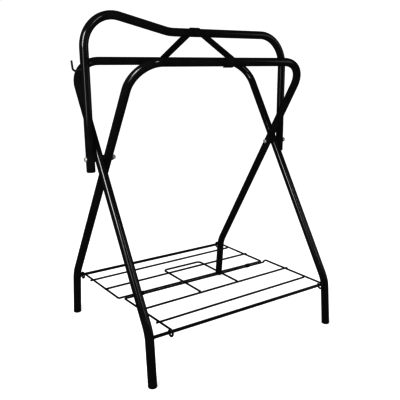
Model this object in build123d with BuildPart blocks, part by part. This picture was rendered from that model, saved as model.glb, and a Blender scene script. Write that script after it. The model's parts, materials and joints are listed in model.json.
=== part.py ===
from build123d import *
import os
from math import asin, atan2, cos, degrees, hypot, radians, sin, tan

# Folding saddle rack: two bent-tube leg frames crossing like scissors, a ridge frame
# between them, and a folding wire tray that holds the feet apart.
# X runs along the ridge (+X is the low end), +Y is the rear, Z is up, and the floor is
# Z = 0.  The X origin is the middle of the whole rack, bridle hook and bolts included.

# Driving dimensions (mm)
TUBE_D = 25.0
TUBE_WALL = 1.5
TUBE_R = TUBE_D / 2
HEIGHT_PIVOT = 595.0
LEG_ANGLE = 31.8
RAIL_ARM = 326.0
BEND_Z = 151.0
FOOT_SPLAY = 5.1
FOOT_CAP = 5.0
FRAME_X = 10.92
FRONT_RAIL_HALF_X = 312.0
REAR_RAIL_HALF_X = 340.0
RAIL_BEND_R = 90.0
FOOT_BEND_R = 100.0

RIDGE_HALF_X = 367.5
RIDGE_Z = 959.3
RIDGE_LEG_END_Z = 560.0
POMMEL_LEAN = 1.09
POMMEL_SLOPE = 13.1
DIP_X = -94.8
POMMEL_BEND_R = 90.0
DIP_BEND_R = 150.0
LOW_END_BEND_R = 100.0

BOLT_D = 8.0
PIVOT_CLEARANCE = 0.05
RUN_GAP = 0.4

ROD_D = 9.0
ROD_R = ROD_D / 2
ROD_Y = 275.0
ROD_Z = 138.0

WIRE_D = 5.5
WIRE_R = WIRE_D / 2
EYE_CLEARANCE = 0.1
TRAY_Z = ROD_Z + ROD_R + EYE_CLEARANCE + WIRE_R
RUN_DROP = WIRE_D + 0.1
TRAY_CORNER_R = 5.0
JOGGLE_R = 12.0
REAR_TRAY_X = (-291.0, 294.5)
REAR_RUN_Y = 1.5
FRONT_TRAY_X = (-271.0, 320.0)
FRONT_CORNER_Y = 8.0
FRONT_CORNER_RISE = 3.5
JOGGLE_LENGTH = 16.0
REAR_INNER_Y = (82.0, 89.0)
REAR_OUTER_Y = (201.0, 209.0)
FRONT_INNER_Y = (-118.0, -112.0)
FRONT_OUTER_Y = (-204.0, -196.0)
REAR_WIRE_RISE = WIRE_D - 0.4
FRONT_WIRE_RISE = WIRE_D - 0.1
INNER_OVERHANG = (8.0, -1.0)
OUTER_OVERHANG = (4.5, 1.5)
EYE_R = 9.8
EYE_Z = TRAY_Z - EYE_R
REAR_EYE_ARC = 285.0
FRONT_HOOK_ARC = 140.0

LOOP_X = (-63.0, 87.0)
LOOP_Y = (-118.0, 105.0)
LOOP_REST_GAP = 0.28

CLIP_X = (-208.0, 229.0)
CLIP_W = 12.0
CLIP_WALL = 1.2

BRACE_W = 30.0
BRACE_T = 3.0
BRACE_SLOPE = 26.3
BRACE_HOOK_ARC = 165.0

BRIDLE_HOOK_Z = 851.5
BRIDLE_HOOK_R = 2.5

os.makedirs("parts", exist_ok=True)


def finish(part, name):
    """Label a finished piece and write it as parts/<name>.step."""
    part.label = name
    export_step(part, f"parts/{name}.step")


def rail_frame_points(half_x, side):
    """Corner points of one leg frame; side is +1 when its rail is at the rear."""
    bend_y = (HEIGHT_PIVOT - BEND_Z) * tan(radians(LEG_ANGLE))
    foot_y = bend_y + (BEND_Z - FOOT_CAP) * tan(radians(FOOT_SPLAY))
    rail_y = RAIL_ARM * sin(radians(LEG_ANGLE))
    rail_z = HEIGHT_PIVOT + RAIL_ARM * cos(radians(LEG_ANGLE))
    left = [
        (FRAME_X - half_x, -side * foot_y, FOOT_CAP),
        (FRAME_X - half_x, -side * bend_y, BEND_Z),
        (FRAME_X - half_x, side * rail_y, rail_z),
    ]
    right = [(2 * FRAME_X - x, y, z) for x, y, z in reversed(left)]
    return left + right


RAIL_FRAME_RADII = [FOOT_BEND_R, RAIL_BEND_R, RAIL_BEND_R, FOOT_BEND_R]


def make_rail_frame(half_x, side, hole_d):
    """One bent tube: foot, leg, rail, leg, foot, drilled for the two pivot bolts."""
    with BuildPart() as frame:
        with BuildLine() as centre:
            FilletPolyline(*rail_frame_points(half_x, side), radius=RAIL_FRAME_RADII)
        with BuildSketch(Plane(origin=centre.line @ 0, z_dir=centre.line % 0)):
            Circle(TUBE_R)
            Circle(TUBE_R - TUBE_WALL, mode=Mode.SUBTRACT)
        sweep()
        with BuildSketch(Plane.YZ):
            with Locations((0, HEIGHT_PIVOT)):
                Circle(hole_d / 2)
        extrude(amount=2 * half_x, both=True, mode=Mode.SUBTRACT)
    return frame.part


def make_cross_rod(half_x, side):
    """Rod between the legs of one frame, its ends coped to the round tubes."""
    with BuildPart() as rod:
        with BuildSketch(Plane.YZ.offset(FRAME_X)):
            with Locations((-side * ROD_Y, ROD_Z)):
                Circle(ROD_R)
        extrude(amount=half_x, both=True)
        with BuildLine() as centre:
            FilletPolyline(*rail_frame_points(half_x, side), radius=RAIL_FRAME_RADII)
        with BuildSketch(Plane(origin=centre.line @ 0, z_dir=centre.line % 0)):
            Circle(TUBE_R)
        sweep(mode=Mode.SUBTRACT)
    return rod.part


def make_foot_plug(half_x, side, end):
    """Plastic insert in a leg's foot; end is -1 for the left leg and +1 for the right."""
    x, y, z = rail_frame_points(half_x, side)[0]
    x = FRAME_X + end * half_x
    up = (0, side * sin(radians(FOOT_SPLAY)), cos(radians(FOOT_SPLAY)))
    with BuildPart() as plug:
        with BuildSketch(Plane(origin=(x, y, z), z_dir=up)):
            Circle(TUBE_R)
        extrude(amount=-2 * FOOT_CAP)
        split(bisect_by=Plane.XY, keep=Keep.TOP)
        chamfer(plug.edges().group_by(Axis.Z)[0], 1.2)
        with BuildSketch(Plane(origin=(x, y, z), z_dir=up)):
            Circle(TUBE_R - TUBE_WALL)
        extrude(amount=16)
    return plug.part


# Front rail frame: the inner one, rail at the front and feet at the rear.
finish(make_rail_frame(FRONT_RAIL_HALF_X, -1, BOLT_D), "front_rail_frame")
finish(make_cross_rod(FRONT_RAIL_HALF_X, -1), "rear_cross_rod")
finish(make_foot_plug(FRONT_RAIL_HALF_X, -1, -1), "rear_left_foot_plug")
finish(make_foot_plug(FRONT_RAIL_HALF_X, -1, 1), "rear_right_foot_plug")

# Rear rail frame: outside the first, rail at the rear and feet at the front.
finish(make_rail_frame(REAR_RAIL_HALF_X, 1, BOLT_D + 2 * PIVOT_CLEARANCE), "rear_rail_frame")
finish(make_cross_rod(REAR_RAIL_HALF_X, 1), "front_cross_rod")
finish(make_foot_plug(REAR_RAIL_HALF_X, 1, -1), "front_left_foot_plug")
finish(make_foot_plug(REAR_RAIL_HALF_X, 1, 1), "front_right_foot_plug")

# Ridge frame: an upright hoop over both, high at the pommel end, dipping to a level ridge.
pommel_foot_x = -RIDGE_HALF_X + (HEIGHT_PIVOT - RIDGE_LEG_END_Z) * tan(radians(POMMEL_LEAN))
lean = tan(radians(POMMEL_LEAN))
slope = tan(radians(POMMEL_SLOPE))
slope_z_at_zero = RIDGE_Z + slope * DIP_X
pommel_corner_x = -(RIDGE_HALF_X + (slope_z_at_zero - HEIGHT_PIVOT) * lean) / (1 - slope * lean)
pommel_corner_z = slope_z_at_zero - slope * pommel_corner_x
with BuildPart() as ridge_frame:
    with BuildLine(Plane.XZ) as ridge_centre:
        FilletPolyline(
            (FRAME_X + pommel_foot_x, RIDGE_LEG_END_Z),
            (FRAME_X + pommel_corner_x, pommel_corner_z),
            (FRAME_X + DIP_X, RIDGE_Z),
            (FRAME_X + RIDGE_HALF_X, RIDGE_Z),
            (FRAME_X + RIDGE_HALF_X, RIDGE_LEG_END_Z),
            radius=[POMMEL_BEND_R, DIP_BEND_R, LOW_END_BEND_R],
        )
    with BuildSketch(Plane(origin=ridge_centre.line @ 0, z_dir=ridge_centre.line % 0)):
        Circle(TUBE_R)
        Circle(TUBE_R - TUBE_WALL, mode=Mode.SUBTRACT)
    sweep()
    with BuildSketch(Plane.YZ):
        with Locations((0, HEIGHT_PIVOT)):
            Circle(BOLT_D / 2 + PIVOT_CLEARANCE)
    extrude(amount=2 * RIDGE_HALF_X, both=True, mode=Mode.SUBTRACT)
finish(ridge_frame.part, "ridge_frame")


def make_ridge_end_plug(x, axis):
    """Flat insert that closes the lower end of a ridge leg."""
    with BuildPart() as plug:
        with BuildSketch(Plane(origin=(x, 0, RIDGE_LEG_END_Z), z_dir=axis)):
            Circle(TUBE_R)
        extrude(amount=-3)
        fillet(plug.edges().group_by(Axis.Z)[0], 1.5)
        with BuildSketch(Plane(origin=(x, 0, RIDGE_LEG_END_Z), z_dir=axis)):
            Circle(TUBE_R - TUBE_WALL)
        extrude(amount=12)
    return plug.part


pommel_leg_axis = (-sin(radians(POMMEL_LEAN)), 0, cos(radians(POMMEL_LEAN)))
finish(make_ridge_end_plug(FRAME_X + pommel_foot_x, pommel_leg_axis), "left_ridge_end_plug")
finish(make_ridge_end_plug(FRAME_X + RIDGE_HALF_X, (0, 0, 1)), "right_ridge_end_plug")

# Centre brace: flat strap bent over the ridge, its ends hooked round both rails.
rail_y = RAIL_ARM * sin(radians(LEG_ANGLE))
rail_z = HEIGHT_PIVOT + RAIL_ARM * cos(radians(LEG_ANGLE))
brace_n = (sin(radians(BRACE_SLOPE)), cos(radians(BRACE_SLOPE)))
wrap_r = TUBE_R + BRACE_T / 2
strap_to_rail = brace_n[1] * RIDGE_Z + wrap_r - brace_n[0] * rail_y - brace_n[1] * rail_z
hook_shift = 0.8
hook_r = strap_to_rail - hook_shift
hook_y = rail_y + hook_shift * brace_n[0]
hook_z = rail_z + hook_shift * brace_n[1]
with BuildPart() as centre_brace:
    with BuildLine(Plane.YZ.offset(FRAME_X - 3)) as brace_centre:
        over_ridge = CenterArc((0, RIDGE_Z), wrap_r, 90 - BRACE_SLOPE, 2 * BRACE_SLOPE)
        rear_start = 90 - BRACE_SLOPE - BRACE_HOOK_ARC
        rear_hook = CenterArc((hook_y, hook_z), hook_r, rear_start, BRACE_HOOK_ARC)
        front_hook = CenterArc((-hook_y, hook_z), hook_r, 90 + BRACE_SLOPE, BRACE_HOOK_ARC)
        Line(rear_hook @ 1, over_ridge @ 0)
        Line(over_ridge @ 1, front_hook @ 0)
    brace_path = brace_centre.wire()
    brace_start = Plane(origin=brace_path @ 0, x_dir=(1, 0, 0), z_dir=brace_path % 0)
    with BuildSketch(brace_start):
        Rectangle(BRACE_W, BRACE_T)
    sweep(path=brace_path)
    fillet(centre_brace.faces().filter_by(GeomType.PLANE).edges().filter_by(Axis.X), 1.0)
finish(centre_brace.part, "centre_brace")

# Bridle hook: bent wire on the outside of the pommel leg, ending in an upturned tip and
# coped where it is welded to the round tube.
hook_leg_x = FRAME_X - RIDGE_HALF_X - (BRIDLE_HOOK_Z - HEIGHT_PIVOT) * lean
with BuildPart() as bridle_hook:
    with BuildLine(Plane.XZ) as hook_centre:
        FilletPolyline(
            (hook_leg_x - TUBE_R + 1.2, BRIDLE_HOOK_Z),
            (hook_leg_x - TUBE_R - 23, BRIDLE_HOOK_Z - 8.5),
            (hook_leg_x - TUBE_R - 26.5, BRIDLE_HOOK_Z + 23),
            radius=9,
        )
    with BuildSketch(Plane(origin=hook_centre.line @ 0, z_dir=hook_centre.line % 0)):
        Circle(BRIDLE_HOOK_R)
    sweep()
    fillet(bridle_hook.faces().sort_by(Axis.Z)[-1].edges(), 1.2)
    with BuildSketch(Plane(origin=(hook_leg_x, 0, BRIDLE_HOOK_Z), z_dir=pommel_leg_axis)):
        Circle(TUBE_R)
    extrude(amount=20, both=True, mode=Mode.SUBTRACT)
finish(bridle_hook.part, "bridle_hook")


def make_bolt(head_x, tip_x):
    """Button-head pivot bolt along +X, its head bearing face at head_x."""
    with BuildPart() as bolt:
        with BuildSketch(Plane(origin=(head_x, 0, HEIGHT_PIVOT), z_dir=(-1, 0, 0))):
            Circle(7.0)
        extrude(amount=4.8)
        fillet(bolt.faces().sort_by(Axis.X)[0].edges(), 2.6)
        with BuildSketch(Plane(origin=(head_x - 4.8, 0, HEIGHT_PIVOT), z_dir=(1, 0, 0))):
            RegularPolygon(2.9, 6)
        extrude(amount=2.6, mode=Mode.SUBTRACT)
        with BuildSketch(Plane(origin=(head_x, 0, HEIGHT_PIVOT), z_dir=(1, 0, 0))):
            Circle(BOLT_D / 2)
        extrude(amount=tip_x - head_x)
        chamfer(bolt.faces().sort_by(Axis.X)[-1].edges(), 0.8)
    return bolt.part


def make_lock_nut(x):
    """M8 lock nut, 8 mm high, its bearing face at x and its crown towards +X."""
    with BuildPart() as nut:
        with BuildSketch(Plane(origin=(x, 0, HEIGHT_PIVOT), z_dir=(1, 0, 0))):
            RegularPolygon(6.5, 6, major_radius=False)
        extrude(amount=5.6)
        with BuildSketch(Plane(origin=(x, 0, HEIGHT_PIVOT), z_dir=(1, 0, 0))):
            Circle(6.2)
        extrude(amount=8.0)
        fillet(nut.faces().sort_by(Axis.X)[-1].edges(), 1.2)
        with BuildSketch(Plane(origin=(x, 0, HEIGHT_PIVOT), z_dir=(1, 0, 0))):
            Circle(BOLT_D / 2)
        extrude(amount=8.0, mode=Mode.SUBTRACT)
    return nut.part


def make_ring(x_from, x_to, radius):
    """Flat washer or spacer round a pivot bolt."""
    with BuildPart() as ring:
        with BuildSketch(Plane(origin=(x_from, 0, HEIGHT_PIVOT), z_dir=(1, 0, 0))):
            Circle(radius)
            Circle(BOLT_D / 2, mode=Mode.SUBTRACT)
        extrude(amount=x_to - x_from)
    return ring.part


# Pivot hardware.  Both bolts point towards +X, fixed in the front rail frame; the other
# two frames turn on them.
ridge_out = RIDGE_HALF_X + TUBE_R
ridge_in = RIDGE_HALF_X - TUBE_R
rear_out = REAR_RAIL_HALF_X + TUBE_R
rear_in = REAR_RAIL_HALF_X - TUBE_R
front_out = FRONT_RAIL_HALF_X + TUBE_R
front_in = FRONT_RAIL_HALF_X - TUBE_R
finish(make_bolt(FRAME_X - ridge_out - RUN_GAP, FRAME_X - front_in + 11.5), "left_pivot_bolt")
finish(make_bolt(FRAME_X + front_in, FRAME_X + ridge_out + 11.9), "right_pivot_bolt")
finish(make_ring(FRAME_X - front_in, FRAME_X - front_in + 1.6, 8.5), "left_pivot_washer")
finish(make_lock_nut(FRAME_X - front_in + 1.6), "left_lock_nut")
right_washer_x = FRAME_X + ridge_out + RUN_GAP
finish(make_ring(right_washer_x, right_washer_x + 1.6, 8.5), "right_pivot_washer")
finish(make_lock_nut(right_washer_x + 1.6), "right_lock_nut")
for end, side_name in ((-1, "left"), (1, "right")):
    outer = sorted(FRAME_X + end * x for x in (rear_out + RUN_GAP, ridge_in - RUN_GAP))
    inner = sorted(FRAME_X + end * x for x in (front_out, rear_in - RUN_GAP))
    finish(make_ring(outer[0], outer[1], 9.0), f"{side_name}_outer_spacer")
    finish(make_ring(inner[0], inner[1], 9.0), f"{side_name}_inner_spacer")


def curl(x, side, angle):
    """Point on a wire end curled from over a rod, out past it and under, into an eye."""
    return (
        x,
        side * (ROD_Y + EYE_R * sin(radians(angle))),
        EYE_Z + EYE_R * cos(radians(angle)),
    )


def leaving_angle(side, corner):
    """Angle on the curl where the straight end wire from a mid-run corner meets it."""
    reach = ROD_Y - side * corner[1]
    rise = corner[2] - EYE_Z
    return degrees(atan2(rise, reach) - asin(EYE_R / hypot(reach, rise)))


def curl_points(side, corner, arc):
    """Start, middle and end points of the curl on the end wire from a mid-run corner."""
    start = leaving_angle(side, corner)
    return [curl(corner[0], side, angle) for angle in (start, (start + arc) / 2, arc)]


def make_tray_outline(run, side, arc, radii):
    """U-shaped tray wire: two end wires, each curled round the rod, and the mid run."""
    left = curl_points(side, run[0], arc)
    right = curl_points(side, run[-1], arc)
    with BuildPart() as outline:
        with BuildLine() as centre:
            ThreePointArc(*reversed(left))
            FilletPolyline(left[0], *run, right[0], radius=radii)
            ThreePointArc(*right)
        path = centre.wire()
        with BuildSketch(Plane(origin=path @ 0, z_dir=path % 0)):
            Circle(WIRE_R)
        sweep(path=path)
    return outline.part


def end_wire_z(side, corner, y):
    """Height at y of the end wire that leaves a mid-run corner."""
    return corner[2] - abs(y - corner[1]) * tan(radians(leaving_angle(side, corner)))


def make_tray_wire(run, side, ends_y, rise, overhang):
    """Long wire welded across both end wires of a tray half; a negative rise is under them."""
    start = Vector(run[0][0], ends_y[0], end_wire_z(side, run[0], ends_y[0]) + rise)
    end = Vector(run[-1][0], ends_y[1], end_wire_z(side, run[-1], ends_y[1]) + rise)
    along = (end - start).normalized()
    with BuildPart() as wire:
        with BuildSketch(Plane(origin=start - along * overhang[0], z_dir=along)):
            Circle(WIRE_R)
        extrude(amount=(end - start).length + sum(overhang))
    return wire.part


# Folding tray: the rear half turns on the rear rod, the front half turns on the rear
# half along the middle, and its open hooks rest over the front rod.  The front half's
# mid run lies below the rear half's, so that its end wires can swing past underneath,
# and joggles back and up past the rear half's right corner.
rear_run = [(FRAME_X + x, REAR_RUN_Y, TRAY_Z) for x in REAR_TRAY_X]
front_run_z = TRAY_Z - RUN_DROP
front_run = [
    (FRAME_X + FRONT_TRAY_X[0], 0, front_run_z),
    (FRAME_X + FRONT_TRAY_X[1] - JOGGLE_LENGTH, 0, front_run_z),
    (FRAME_X + FRONT_TRAY_X[1], FRONT_CORNER_Y, front_run_z + FRONT_CORNER_RISE),
]
rear_radii = [TRAY_CORNER_R, TRAY_CORNER_R]
front_radii = [TRAY_CORNER_R, JOGGLE_R, TRAY_CORNER_R]
finish(make_tray_outline(rear_run, 1, REAR_EYE_ARC, rear_radii), "rear_tray_outline")
finish(make_tray_outline(front_run, -1, FRONT_HOOK_ARC, front_radii), "front_tray_outline")
rear_inner = make_tray_wire(rear_run, 1, REAR_INNER_Y, REAR_WIRE_RISE, INNER_OVERHANG)
rear_outer = make_tray_wire(rear_run, 1, REAR_OUTER_Y, -REAR_WIRE_RISE, OUTER_OVERHANG)
front_inner = make_tray_wire(front_run, -1, FRONT_INNER_Y, FRONT_WIRE_RISE, INNER_OVERHANG)
front_outer = make_tray_wire(front_run, -1, FRONT_OUTER_Y, -FRONT_WIRE_RISE, OUTER_OVERHANG)
finish(rear_inner, "rear_tray_inner_wire")
finish(rear_outer, "rear_tray_outer_wire")
finish(front_inner, "front_tray_inner_wire")
finish(front_outer, "front_tray_outer_wire")

# Handle loop: welded on the front half's inner wire, reaching over the middle and lying
# on the rear half's inner wire, so that the tray can only fold upwards.
loop_x = [FRAME_X + x for x in LOOP_X]
weld_y = sum(FRONT_INNER_Y) / 2
rest_y = sum(REAR_INNER_Y) / 2
front_ends = zip((front_run[0], front_run[-1]), FRONT_INNER_Y)
weld_z = sum(end_wire_z(-1, corner, y) for corner, y in front_ends) / 2 + FRONT_WIRE_RISE + WIRE_D - 0.02
rest_z = TRAY_Z + REAR_WIRE_RISE + WIRE_D + LOOP_REST_GAP
loop_slope = (rest_z - weld_z) / (rest_y - weld_y)
loop_z = [weld_z + (y - weld_y) * loop_slope for y in LOOP_Y]
loop_points = [
    (loop_x[0], LOOP_Y[0], loop_z[0]),
    (loop_x[0], LOOP_Y[1], loop_z[1]),
    (loop_x[1], LOOP_Y[1], loop_z[1]),
    (loop_x[1], LOOP_Y[0], loop_z[0]),
]
with BuildPart() as tray_handle_loop:
    with BuildLine() as loop_centre:
        FilletPolyline(*loop_points, radius=12)
    with BuildSketch(Plane(origin=loop_centre.line @ 0, z_dir=loop_centre.line % 0)):
        Circle(WIRE_R)
    sweep()
finish(tray_handle_loop.part, "tray_handle_loop")


def make_hinge_clip(x):
    """Clip round both mid runs: tight on the rear one, free on the front one."""
    tilt = degrees(atan2(RUN_DROP, REAR_RUN_Y))
    pitch = hypot(RUN_DROP, REAR_RUN_Y)
    with BuildPart() as clip:
        with BuildSketch(Plane.YZ.offset(x - CLIP_W / 2)):
            with Locations((REAR_RUN_Y / 2, TRAY_Z - RUN_DROP / 2)):
                SlotCenterToCenter(pitch, WIRE_D + 2 * CLIP_WALL, rotation=tilt)
            with Locations((REAR_RUN_Y, TRAY_Z)):
                Circle(WIRE_R, mode=Mode.SUBTRACT)
            with Locations((0, front_run_z)):
                Circle(WIRE_R + PIVOT_CLEARANCE, mode=Mode.SUBTRACT)
        extrude(amount=CLIP_W)
    return clip.part


finish(make_hinge_clip(FRAME_X + CLIP_X[0]), "left_hinge_clip")
finish(make_hinge_clip(FRAME_X + CLIP_X[1]), "right_hinge_clip")
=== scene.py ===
import bpy
import bmesh
import json
import math
from mathutils import Matrix, Vector, noise


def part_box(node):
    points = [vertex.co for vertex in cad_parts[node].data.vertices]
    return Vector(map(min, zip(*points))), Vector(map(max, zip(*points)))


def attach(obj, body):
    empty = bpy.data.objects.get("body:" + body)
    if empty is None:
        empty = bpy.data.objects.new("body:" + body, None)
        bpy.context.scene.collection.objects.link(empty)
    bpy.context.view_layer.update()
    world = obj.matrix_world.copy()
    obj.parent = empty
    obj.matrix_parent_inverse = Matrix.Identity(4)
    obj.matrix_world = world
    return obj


# Looks of the folding saddle rack: gloss black powder coat on tube and wire, zinc-plated
# pivot hardware and moulded black plastic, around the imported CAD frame.  Metres, +Z up.

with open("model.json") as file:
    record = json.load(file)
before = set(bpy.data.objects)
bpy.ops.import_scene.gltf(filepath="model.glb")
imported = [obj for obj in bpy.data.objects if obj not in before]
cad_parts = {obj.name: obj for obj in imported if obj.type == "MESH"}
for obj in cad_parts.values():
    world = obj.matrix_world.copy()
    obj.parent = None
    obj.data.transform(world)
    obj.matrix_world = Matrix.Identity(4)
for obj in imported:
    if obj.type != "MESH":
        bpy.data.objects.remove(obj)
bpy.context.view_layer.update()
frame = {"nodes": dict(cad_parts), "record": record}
bodies = {node: body for body, nodes in frame["record"]["behaviour"]["bodies"].items() for node in nodes}


# Materials ---------------------------------------------------------------------------

def new_material(name):
    """A node material and its Principled shader."""
    material = bpy.data.materials.new(name)
    material.use_nodes = True
    return material, material.node_tree.nodes["Principled BSDF"]


def add_node(material, kind, **settings):
    """Adds a shader node, setting inputs by socket name and options by attribute."""
    node = material.node_tree.nodes.new(kind)
    for key, value in settings.items():
        if key in node.inputs:
            node.inputs[key].default_value = value
        else:
            setattr(node, key, value)
    return node


def join(material, source, target):
    """Links an output socket to an input socket."""
    material.node_tree.links.new(source, target)


def object_noise(material, scale, detail=3.0, roughness=0.5):
    """Noise over the object's own coordinates; scale is in features per metre."""
    coordinates = add_node(material, "ShaderNodeTexCoord")
    texture = add_node(material, "ShaderNodeTexNoise", Scale=scale, Detail=detail, Roughness=roughness)
    join(material, coordinates.outputs["Object"], texture.inputs["Vector"])
    return texture.outputs["Fac"]


def ramp(material, factor, low, high, start=0.3, end=0.7):
    """Colour ramp from low to high as the factor goes from start to end."""
    node = add_node(material, "ShaderNodeValToRGB")
    node.color_ramp.elements[0].position = start
    node.color_ramp.elements[1].position = end
    node.color_ramp.elements[0].color = low
    node.color_ramp.elements[1].color = high
    join(material, factor, node.inputs["Fac"])
    return node.outputs["Color"]


def map_range(material, factor, low, high, start=0.3, end=0.7):
    """Number that goes from low to high as the factor goes from start to end."""
    node = add_node(material, "ShaderNodeMapRange")
    for key, value in {"From Min": start, "From Max": end, "To Min": low, "To Max": high}.items():
        node.inputs[key].default_value = value
    join(material, factor, node.inputs["Value"])
    return node.outputs["Result"]


def add_bump(material, shader, layers):
    """Stacks bump layers, each (height socket, distance in metres, strength)."""
    normal = None
    for height, distance, strength in layers:
        bump = add_node(material, "ShaderNodeBump", Distance=distance, Strength=strength)
        join(material, height, bump.inputs["Height"])
        if normal is not None:
            join(material, normal, bump.inputs["Normal"])
        normal = bump.outputs["Normal"]
    join(material, normal, shader.inputs["Normal"])


def make_powder_coat():
    """Gloss black powder coat: orange peel, soft cloudy gloss and a few dust nibs."""
    material, shader = new_material("black_powder_coat")
    cloud = object_noise(material, 22.0, 4.0)
    peel = object_noise(material, 420.0, 2.0, 0.45)
    nibs = object_noise(material, 1600.0, 1.0)
    colour = ramp(material, cloud, (0.011, 0.011, 0.0122, 1), (0.017, 0.017, 0.0185, 1))
    join(material, colour, shader.inputs["Base Color"])
    join(material, map_range(material, cloud, 0.1, 0.16), shader.inputs["Roughness"])
    shader.inputs["IOR"].default_value = 1.5
    shader.inputs["Coat Weight"].default_value = 0.4
    shader.inputs["Coat Roughness"].default_value = 0.06
    nib_height = map_range(material, nibs, 0.0, 1.0, 0.68, 0.8)
    add_bump(material, shader, [(peel, 0.00004, 0.35), (nib_height, 0.00003, 0.4)])
    return material


def make_zinc():
    """Bright zinc plate with a faint yellow and blue passivation drift and fine wear."""
    material, shader = new_material("zinc_plate")
    drift = object_noise(material, 160.0, 3.0)
    grain = object_noise(material, 2600.0, 4.0, 0.6)
    colour = ramp(material, drift, (0.56, 0.58, 0.62, 1), (0.72, 0.7, 0.62, 1))
    join(material, colour, shader.inputs["Base Color"])
    join(material, map_range(material, grain, 0.2, 0.38), shader.inputs["Roughness"])
    shader.inputs["Metallic"].default_value = 0.55
    add_bump(material, shader, [(grain, 0.00002, 0.35)])
    return material


def make_moulded_plastic(name, colour, roughness, grain_scale):
    """Moulded plastic with a fine spark-eroded grain and cloudy sheen."""
    material, shader = new_material(name)
    cloud = object_noise(material, 90.0, 3.0)
    grain = object_noise(material, grain_scale, 3.0, 0.6)
    low = (colour * 0.8, colour * 0.8, colour * 0.82, 1)
    high = (colour * 1.3, colour * 1.3, colour * 1.33, 1)
    join(material, ramp(material, cloud, low, high), shader.inputs["Base Color"])
    join(material, map_range(material, grain, roughness - 0.07, roughness + 0.07), shader.inputs["Roughness"])
    add_bump(material, shader, [(grain, 0.00008, 0.5)])
    return material


finishes = {
    "black_powder_coat": make_powder_coat(),
    "zinc_plate": make_zinc(),
    "black_plastic": make_moulded_plastic("black_plastic", 0.009, 0.46, 2200.0),
    "nylon": make_moulded_plastic("nylon", 0.012, 0.36, 1400.0),
}
node_slots = {row["node"]: row["material_slot"] for row in frame["record"]["subparts"]}


CREASE_ANGLE = math.radians(40)


def shade_smooth(mesh):
    """Smooth shading with creases kept sharp."""
    mesh.shade_smooth()
    mesh.set_sharp_from_angle(angle=CREASE_ANGLE)


for node, cad in frame["nodes"].items():
    cad.data.materials.clear()
    cad.data.materials.append(finishes[node_slots[node]])
    if node_slots[node] != "black_powder_coat" or node == "centre_brace":
        bevel = cad.modifiers.new("worn_edges", "BEVEL")
        bevel.width = 0.00035
        bevel.segments = 2
        bevel.limit_method = "ANGLE"
        bevel.angle_limit = CREASE_ANGLE
        bevel.use_clamp_overlap = True


# Pieces on the frame ------------------------------------------------------------------

def centre_of(node):
    """Middle of a CAD node's box."""
    low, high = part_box(node)
    return (Vector(low) + Vector(high)) / 2


def half_of(node):
    """Half the size of a CAD node's box."""
    low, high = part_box(node)
    return (Vector(high) - Vector(low)) / 2


def add_piece(name, vertices, faces, slot_name, body):
    """Mesh object in the shared frame that takes a finish and rides on a body."""
    mesh = bpy.data.meshes.new(name)
    mesh.from_pydata(vertices, [], faces)
    shade_smooth(mesh)
    piece = bpy.data.objects.new(name, mesh)
    bpy.context.scene.collection.objects.link(piece)
    piece.data.materials.append(finishes[slot_name])
    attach(piece, body)
    return piece


def swept_rings(points, radii, closed, sides):
    """Vertices of the rings round a path, turned as little as possible from ring to ring."""
    count = len(points)
    tangents = []
    for i in range(count):
        before = points[i - 1] if closed or i else points[0]
        after = points[(i + 1) % count] if closed or i + 1 < count else points[-1]
        tangents.append((after - before).normalized())
    normals = [tangents[0].orthogonal().normalized()]
    for i in range(1, count):
        normals.append((tangents[i - 1].rotation_difference(tangents[i]) @ normals[-1]).normalized())
    twist = 0.0
    if closed:
        last = tangents[-1].rotation_difference(tangents[0]) @ normals[-1]
        twist = math.atan2(last.cross(normals[0]).dot(tangents[0]), last.dot(normals[0]))
    vertices = []
    for i, (point, radius) in enumerate(zip(points, radii)):
        other = tangents[i].cross(normals[i])
        for side in range(sides):
            angle = math.tau * side / sides + twist * i / count
            vertices.append(point + radius * (math.cos(angle) * normals[i] + math.sin(angle) * other))
    return vertices


def add_sweep(name, points, radii, slot_name, body, closed=False, sides=16):
    """Round bar along a path, capped unless it closes on itself."""
    vertices = swept_rings(points, radii, closed, sides)
    faces = []
    for ring in range(len(points) if closed else len(points) - 1):
        here = ring * sides
        there = (ring + 1) % len(points) * sides
        for side in range(sides):
            after = (side + 1) % sides
            faces.append((here + side, here + after, there + after, there + side))
    if not closed:
        faces.append(tuple(reversed(range(sides))))
        faces.append(tuple(range(len(vertices) - sides, len(vertices))))
    return add_piece(name, vertices, faces, slot_name, body)


def round_end(points, radius):
    """Extra points and radii that close a bar's far end with a dome."""
    along = (points[-1] - points[-2]).normalized()
    steps = [math.radians(angle) for angle in (20, 40, 60, 75, 86)]
    return [points[-1] + along * radius * math.sin(a) for a in steps], [radius * math.cos(a) for a in steps]


def add_bead(name, points, radius, body, closed=False):
    """Weld bead: a rippled bar along a path of evenly spaced points."""
    radii = [radius * (0.86 + 0.22 * abs(math.sin(math.pi * i / 5))) for i in range(len(points))]
    if not closed:
        for i, scale in enumerate((0.35, 0.75)):
            radii[i] *= scale
            radii[-1 - i] *= scale
    return add_sweep(name, points, radii, "black_powder_coat", body, closed, 10)


def add_nugget(name, centre, size, body):
    """Lump of weld metal squeezed out where two wires cross."""
    mesh = bmesh.new()
    bmesh.ops.create_icosphere(mesh, subdivisions=3, radius=1.0)
    vertices = []
    for vertex in mesh.verts:
        swell = 1 + 0.16 * noise.noise(vertex.co * 1.7 + centre * 300)
        vertices.append(centre + Vector([vertex.co[i] * size[i] * swell for i in range(3)]))
    faces = [[vertex.index for vertex in face.verts] for face in mesh.faces]
    mesh.free()
    return add_piece(name, vertices, faces, "black_powder_coat", body)


def surface_hit(node, origin, direction):
    """First point where a ray meets a CAD node."""
    cad = frame["nodes"][node]
    inverse = cad.matrix_world.inverted()
    local_direction = (inverse.to_3x3() @ direction).normalized()
    location = cad.ray_cast(inverse @ origin, local_direction)[1]
    return cad.matrix_world @ location


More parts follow.
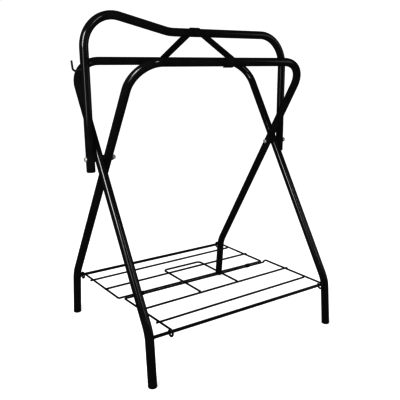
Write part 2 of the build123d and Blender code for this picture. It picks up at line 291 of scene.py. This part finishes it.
def ring_on_surface(node, origin, axis, radius, count):
    """Evenly turned points where a bar of that radius along an axis meets a CAD node."""
    across = axis.orthogonal().normalized()
    other = axis.cross(across)
    points = []
    for i in range(count):
        angle = math.tau * i / count
        start = origin + radius * (math.cos(angle) * across + math.sin(angle) * other)
        points.append(surface_hit(node, start, axis))
    return points


tube_radius = half_of("ridge_frame").y
rod_radius = half_of("rear_cross_rod").z
wire_radius = half_of("rear_tray_inner_wire").z

NUGGET_SIZE = (0.0036, 0.0036, 0.0017)

# Weld beads where each rod meets the legs
for rod, rail_frame in (("rear_cross_rod", "front_rail_frame"), ("front_cross_rod", "rear_rail_frame")):
    for side, side_name in ((-1, "left"), (1, "right")):
        bead = ring_on_surface(rail_frame, centre_of(rod), Vector((side, 0, 0)), rod_radius + 0.0006, 60)
        add_bead(f"{rod}_{side_name}_weld", bead, 0.0017, bodies[rod], closed=True)

# Weld lumps where the long wires cross the end wires: the inner ones over, the outer ones under
for half in ("rear", "front"):
    outline = f"{half}_tray_outline"
    ends_x = [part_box(outline)[0][0] + wire_radius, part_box(outline)[1][0] - wire_radius]
    for row, contact_rise in (("inner", -wire_radius), ("outer", wire_radius)):
        wire = f"{half}_tray_{row}_wire"
        low, high = [Vector(corner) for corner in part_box(wire)]
        crossings = (
            ("left", Vector((ends_x[0], low.y + wire_radius, low.z + wire_radius + contact_rise))),
            ("right", Vector((ends_x[1], high.y - wire_radius, high.z - wire_radius + contact_rise))),
        )
        for side_name, contact in crossings:
            add_nugget(f"{wire}_{side_name}_weld", contact, NUGGET_SIZE, bodies[wire])

# Weld lumps where the handle loop ends on the front half's inner wire
loop_low, loop_high = [Vector(corner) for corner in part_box("tray_handle_loop")]
front_inner = centre_of("front_tray_inner_wire")
for side_name, x in (("left", loop_low.x + wire_radius), ("right", loop_high.x - wire_radius)):
    contact = Vector((x, front_inner.y, front_inner.z + wire_radius))
    add_nugget(f"tray_handle_loop_{side_name}_weld", contact, NUGGET_SIZE, bodies["tray_handle_loop"])

# Eyes of the front tray half, round the front rod; the angles are degrees from straight up
eye_radius = 0.0098
eye_steps = 32
eye_start = 138
eye_turn = 152
rod_centre = centre_of("front_cross_rod")
eye_z = rod_centre.z + rod_radius + 0.0001 + wire_radius - eye_radius
outline_low, outline_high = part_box("front_tray_outline")
for side_name, x in (("left", outline_low[0] + wire_radius), ("right", outline_high[0] - wire_radius)):
    path = []
    for i in range(eye_steps + 1):
        angle = math.radians(eye_start + eye_turn * i / eye_steps)
        y = rod_centre.y - eye_radius * math.sin(angle)
        path.append(Vector((x, y, eye_z + eye_radius * math.cos(angle))))
    dome_points, dome_radii = round_end(path, wire_radius)
    path += dome_points
    eye_radii = [wire_radius] * (eye_steps + 1) + dome_radii
    add_sweep(f"front_{side_name}_eye", path, eye_radii, "black_powder_coat", "front_tray_half", sides=24)

# Weld bead round the bridle hook's root
hook_root = Vector((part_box("bridle_hook")[1][0], 0, 0.8511))
hook_axis = Vector((0.9435, 0, 0.3314)).normalized()
hook_ring = ring_on_surface("ridge_frame", hook_root - hook_axis * 0.008, hook_axis, 0.0028, 40)
add_bead("bridle_hook_weld", hook_ring, 0.0013, bodies["bridle_hook"], closed=True)

# Weld beads along both edges of the brace where it lies on the ridge
brace_thickness = 0.003
bead_reach = tube_radius + 0.0009
bead_steps = 40
bead_half_turn = 32
brace_low, brace_high = [Vector(corner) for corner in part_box("centre_brace")]
ridge_z = brace_high.z - brace_thickness - tube_radius
for edge_name, x in (("left", brace_low.x - 0.0005), ("right", brace_high.x + 0.0005)):
    arc = []
    for i in range(bead_steps + 1):
        angle = math.radians(bead_half_turn * (2 * i / bead_steps - 1))
        arc.append(Vector((x, bead_reach * math.sin(angle), ridge_z + bead_reach * math.cos(angle))))
    add_bead(f"centre_brace_{edge_name}_weld", arc, 0.0014, bodies["centre_brace"])

# Rolled thread on each bolt's tip and the nylon ring in each lock nut
thread_pitch = 0.00125
thread_turns = 1.7
turn_steps = 28
thread_radius = 0.00395
thread_sink = 0.0009
collar_radius = 0.0047
collar_sink = 0.0004
collar_steps = 48
for side_name in ("left", "right"):
    bolt_body = bodies[f"{side_name}_pivot_bolt"]
    axle = centre_of(f"{side_name}_pivot_bolt")
    crown_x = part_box(f"{side_name}_lock_nut")[1][0]
    thread = []
    for i in range(int(thread_turns * turn_steps)):
        angle = math.tau * i / turn_steps
        x = crown_x - thread_sink + thread_pitch * i / turn_steps
        y = axle.y + thread_radius * math.cos(angle)
        thread.append(Vector((x, y, axle.z + thread_radius * math.sin(angle))))
    add_sweep(f"{side_name}_bolt_thread", thread, [0.0004] * len(thread), "zinc_plate", bolt_body, sides=8)
    collar = []
    for i in range(collar_steps):
        angle = math.tau * i / collar_steps
        y = axle.y + collar_radius * math.cos(angle)
        collar.append(Vector((crown_x - collar_sink, y, axle.z + collar_radius * math.sin(angle))))
    collar_radii = [0.0007] * collar_steps
    add_sweep(f"{side_name}_nut_insert", collar, collar_radii, "nylon", bolt_body, closed=True, sides=12)


# Floor, light and camera --------------------------------------------------------------

def make_floor():
    """Plain pale floor under the rack."""
    mesh = bpy.data.meshes.new("floor")
    half = 30.0
    corners = [(-half, -half, 0), (half, -half, 0), (half, half, 0), (-half, half, 0)]
    mesh.from_pydata(corners, [], [(0, 1, 2, 3)])
    floor = bpy.data.objects.new("floor", mesh)
    bpy.context.scene.collection.objects.link(floor)
    material, shader = new_material("floor_white")
    cloud = object_noise(material, 3.0)
    colour = ramp(material, cloud, (0.74, 0.74, 0.74, 1), (0.77, 0.77, 0.77, 1))
    join(material, colour, shader.inputs["Base Color"])
    shader.inputs["Roughness"].default_value = 0.9
    shader.inputs["Emission Color"].default_value = (1, 1, 1, 1)
    shader.inputs["Emission Strength"].default_value = 0.3
    floor.data.materials.append(material)
    floor.visible_glossy = False


def add_area_light(name, location, target, size, size_y, power):
    """Rectangular softbox aimed at a point."""
    data = bpy.data.lights.new(name, "AREA")
    data.shape = "RECTANGLE"
    data.size = size
    data.size_y = size_y
    data.energy = power
    light = bpy.data.objects.new(name, data)
    bpy.context.scene.collection.objects.link(light)
    light.location = location
    light.visible_camera = False
    light.rotation_mode = "QUATERNION"
    light.rotation_quaternion = (Vector(target) - Vector(location)).to_track_quat("-Z", "Y")


def make_world(strength):
    """Even white studio surround, which the gloss doesn't mirror."""
    world = bpy.data.worlds.new("studio")
    world.cycles_visibility.glossy = False
    world.use_nodes = True
    background = world.node_tree.nodes["Background"]
    background.inputs["Color"].default_value = (1, 1, 1, 1)
    background.inputs["Strength"].default_value = strength
    bpy.context.scene.world = world


def make_camera():
    """Camera at the product view: left of the front, a little above the ridge."""
    data = bpy.data.cameras.new("camera")
    data.sensor_width = 36.0
    data.lens = 52.10
    data.shift_x = -0.0399
    data.shift_y = -0.0399
    data.clip_start = 0.05
    data.clip_end = 100.0
    camera = bpy.data.objects.new("camera", data)
    bpy.context.scene.collection.objects.link(camera)
    yaw = math.radians(36.31)
    pitch = math.radians(-12.33)
    roll = math.radians(0.34)
    forward = Vector((math.sin(yaw) * math.cos(pitch), math.cos(yaw) * math.cos(pitch), math.sin(pitch)))
    right = Vector((math.cos(yaw), -math.sin(yaw), 0))
    up = right.cross(forward)
    tilted_right = right * math.cos(roll) + up * math.sin(roll)
    tilted_up = -right * math.sin(roll) + up * math.cos(roll)
    turn = Matrix((tilted_right, tilted_up, -forward)).transposed().to_4x4()
    camera.matrix_world = Matrix.Translation((-1.0407, -1.5450, 0.8847)) @ turn
    bpy.context.scene.camera = camera


bpy.context.scene.view_settings.view_transform = "Standard"
bpy.context.scene.view_settings.gamma = 0.6
make_floor()
make_world(1.04)
make_camera()
add_area_light("left_softbox", (-1.1, -0.56, 1.25), (-0.1, 0, 0.9), 0.5, 0.55, 11)
add_area_light("left_strip", (-1.1, -0.56, 0.78), (-0.1, 0, 0.75), 0.4, 0.38, 1.9)
add_area_light("front_softbox", (0.13, -1.95, 1.8), (-0.2, 0, 0.5), 0.25, 0.7, 6)
add_area_light("right_softbox", (2.4, -1.9, 1.3), (0, 0, 0.6), 1.0, 1.8, 8)
